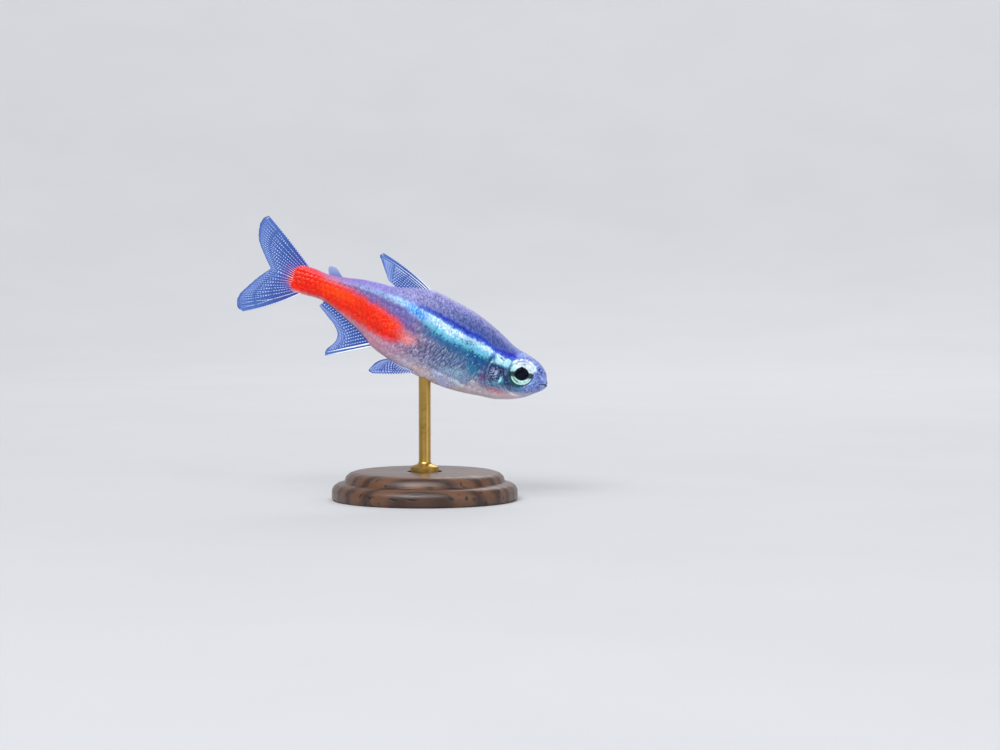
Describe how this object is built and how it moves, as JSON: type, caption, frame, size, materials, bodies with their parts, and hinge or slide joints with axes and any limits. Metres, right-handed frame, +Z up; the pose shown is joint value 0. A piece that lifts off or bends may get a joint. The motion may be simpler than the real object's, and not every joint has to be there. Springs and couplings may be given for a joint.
{
  "type": "neon tetra model",
  "caption": "Still life-size neon tetra, swimming head down with folded dorsal fin, held by one thin rod on a turned round base.",
  "frame": {"origin": "middle of the round base's underside, straight under the rod", "axes": "+Z up, +X to the fish's head, +Y to the fish's left side"},
  "size_m": [0.0284, 0.017, 0.026],
  "materials": {
    "silver_skin": "wet scaled skin, lavender grey with a blue and cyan side stripe",
    "red_skin": "wet scaled skin, bright orange red",
    "silver_eye": "glossy, silver green iris round a black pupil",
    "fin_membrane": "thin clear membrane with a blue tint over pale rays",
    "dark_wood": "dark turned hardwood, waxed",
    "satin_brass": "satin brass"
  },
  "bodies": {
    "root": {"head": "silver_skin", "torso": "silver_skin", "tail_stalk": "red_skin", "eye_left": "silver_eye", "eye_right": "silver_eye", "dorsal_fin": "fin_membrane", "adipose_fin": "fin_membrane", "anal_fin": "fin_membrane", "tail_fin_upper": "fin_membrane", "tail_fin_lower": "fin_membrane", "pelvic_fin_left": "fin_membrane", "pelvic_fin_right": "fin_membrane", "pectoral_fin_left": "fin_membrane", "pectoral_fin_right": "fin_membrane", "stand_base": "dark_wood", "stand_rod": "satin_brass"}
  },
  "joints": []
}
